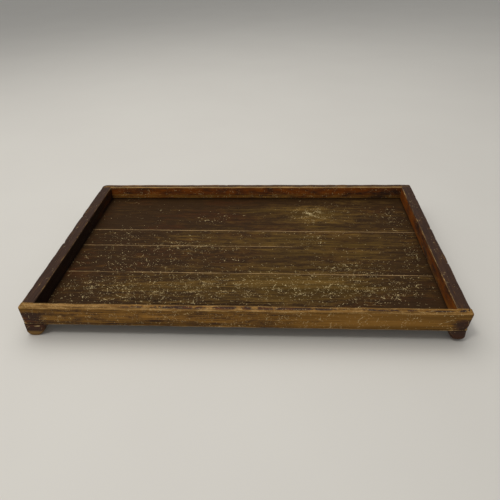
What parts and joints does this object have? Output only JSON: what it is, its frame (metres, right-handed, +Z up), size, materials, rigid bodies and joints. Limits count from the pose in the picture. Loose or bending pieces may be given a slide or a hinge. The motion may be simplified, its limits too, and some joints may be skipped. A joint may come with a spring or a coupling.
{
  "type": "serving tray",
  "caption": "Rectangular wooden serving tray with low upright rails, a planked bed and short rounded corner feet, for carrying cups, plates and a teapot.",
  "frame": {"origin": "on the surface the feet stand on, under the middle of the tray", "axes": "+X along the tray's length to the right, +Y from the front rail to the back rail, +Z up"},
  "size_m": [0.56, 0.36, 0.0455],
  "materials": {
    "rail_lacquer": "worn brown lacquer, rubbed through to golden wood on the arrises",
    "plank_lacquer": "dark brown lacquer, scratched, pitted and chipped to pale wood",
    "foot_lacquer": "dark brown lacquer, worn at the toe",
    "batten_wood": "bare oiled wood darkened with age",
    "iron_nail": "dark forged iron, slightly rusted",
    "bamboo_dowel": "plain bamboo"
  },
  "bodies": {
    "root": {"front_rail": "rail_lacquer", "back_rail": "rail_lacquer", "left_rail": "rail_lacquer", "right_rail": "rail_lacquer", "front_plank": "plank_lacquer", "third_plank": "plank_lacquer", "second_plank": "plank_lacquer", "back_plank": "plank_lacquer", "left_batten": "batten_wood", "right_batten": "batten_wood", "front_left_foot": "foot_lacquer", "front_right_foot": "foot_lacquer", "back_left_foot": "foot_lacquer", "back_right_foot": "foot_lacquer", "plank_nails": "iron_nail", "batten_nails": "iron_nail", "foot_dowels": "bamboo_dowel"}
  },
  "joints": []
}
